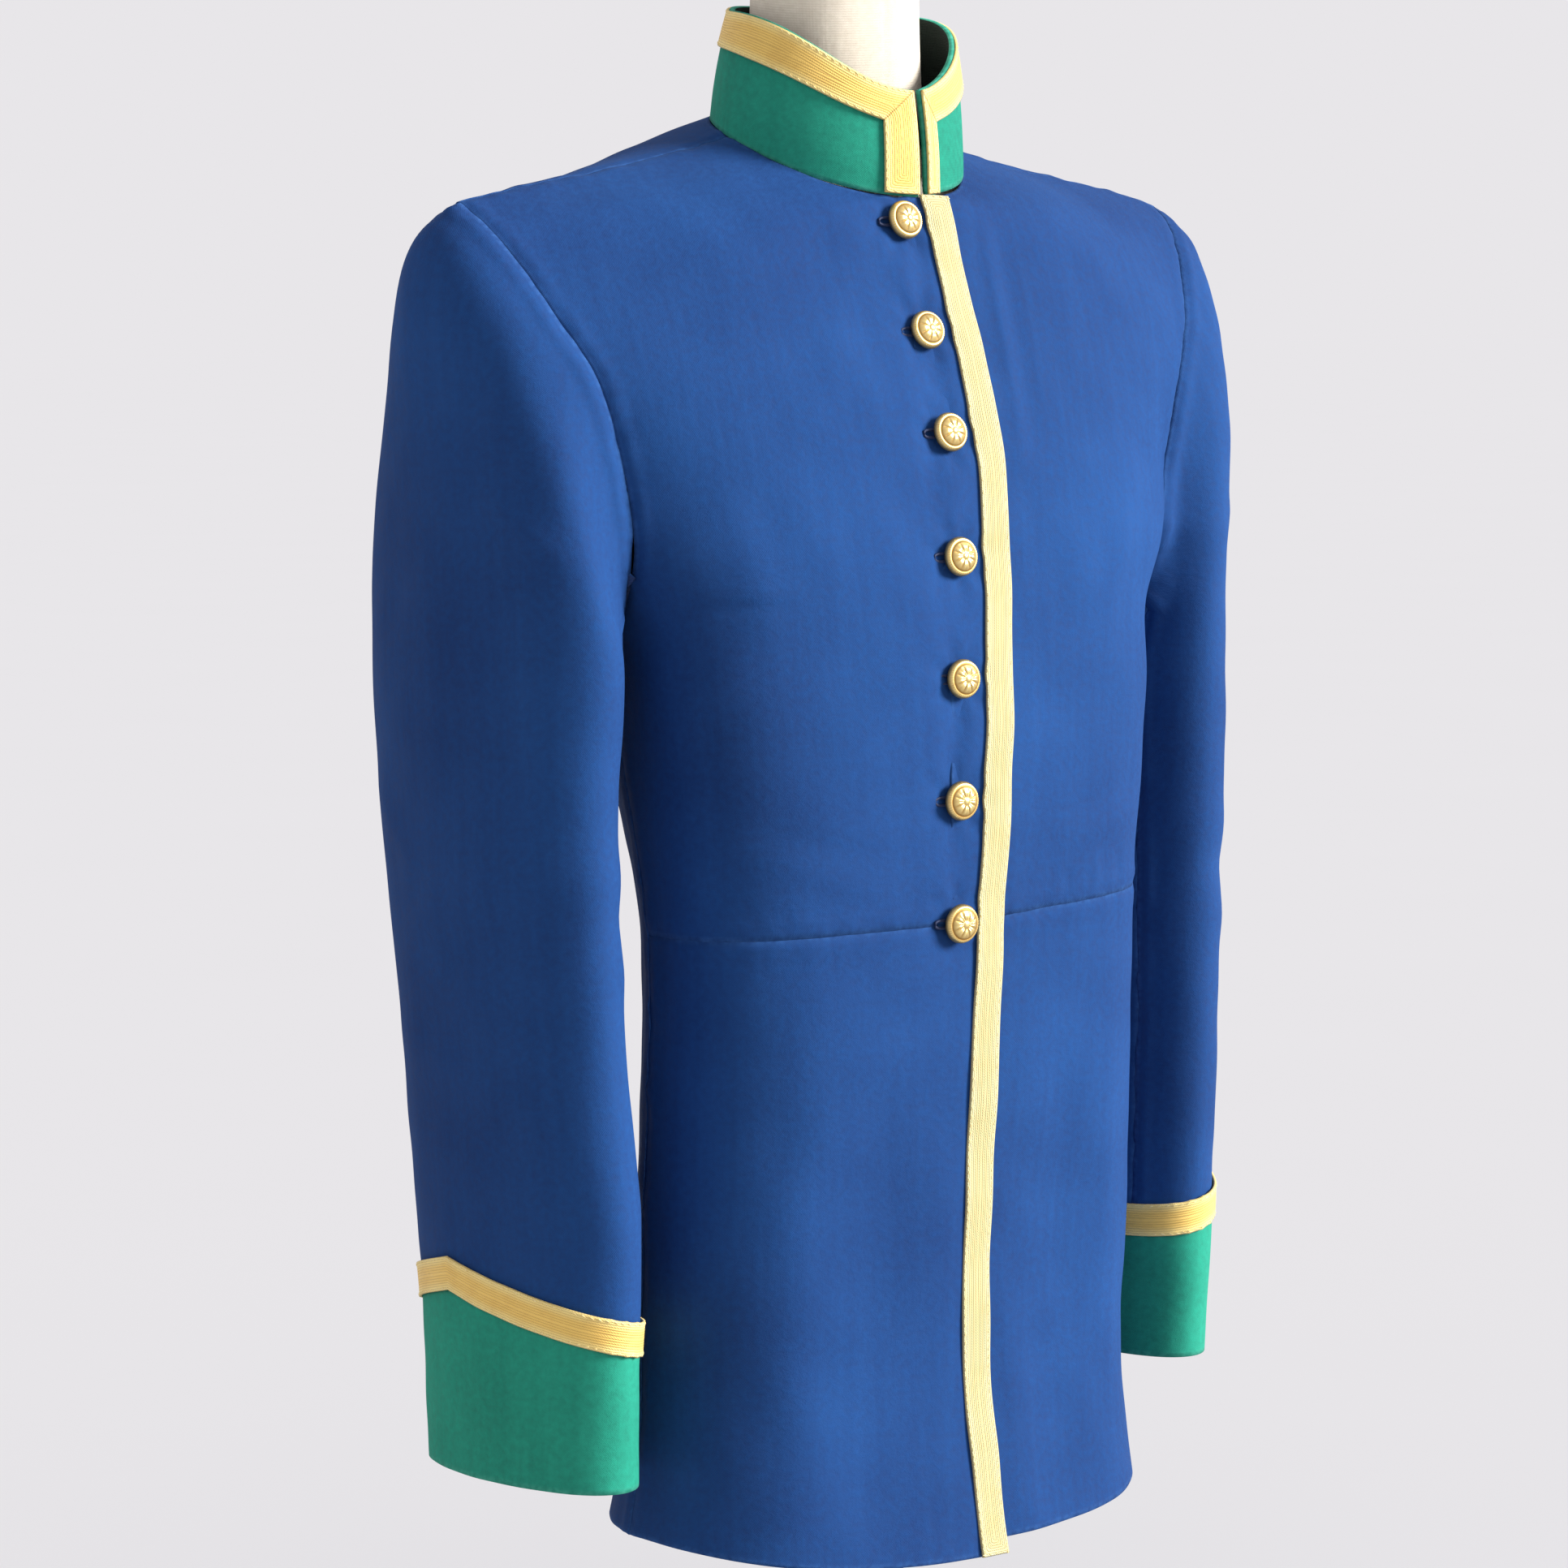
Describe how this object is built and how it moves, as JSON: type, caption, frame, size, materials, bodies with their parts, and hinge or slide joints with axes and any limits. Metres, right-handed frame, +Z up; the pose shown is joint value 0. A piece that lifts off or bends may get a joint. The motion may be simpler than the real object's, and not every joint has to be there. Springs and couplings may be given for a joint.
{
  "type": "hussar jacket on a limbless dress form",
  "caption": "Single-breasted blue wool hussar jacket with green stand collar and cuffs, yellow braid and domed gilt buttons, on a limbless dress form.",
  "frame": {"origin": "middle of the underside of the round base", "axes": "+Z up, the wearer faces -Y, the wearer's right is -X"},
  "size_m": [0.4956, 0.31, 0.9444],
  "materials": {
    "wool_blue": "fulled blue wool broadcloth, matt with a faint nap",
    "wool_green": "green wool facing cloth, matt",
    "braid_yellow": "flat woven yellow worsted braid with a ribbed edge",
    "gilt_brass": "gilt stamped brass, softly polished",
    "form_cloth": "cream jersey stretched smooth over the form",
    "stand_metal": "satin black paint"
  },
  "bodies": {
    "root": {"front_right": "wool_blue", "front_left": "wool_blue", "skirt_right": "wool_blue", "skirt_left": "wool_blue", "back_right": "wool_blue", "back_left": "wool_blue", "sleeve_top_right": "wool_blue", "sleeve_under_right": "wool_blue", "sleeve_top_left": "wool_blue", "sleeve_under_left": "wool_blue", "collar": "wool_green", "cuff_right": "wool_green", "cuff_left": "wool_green", "front_braid": "braid_yellow", "collar_braid_right": "braid_yellow", "collar_braid_left": "braid_yellow", "cuff_braid_right": "braid_yellow", "cuff_braid_left": "braid_yellow", "button_1": "gilt_brass", "button_2": "gilt_brass", "button_3": "gilt_brass", "button_4": "gilt_brass", "button_5": "gilt_brass", "button_6": "gilt_brass", "button_7": "gilt_brass", "form_torso": "form_cloth", "neck_cap": "form_cloth", "pole": "stand_metal", "base": "stand_metal"}
  },
  "joints": []
}
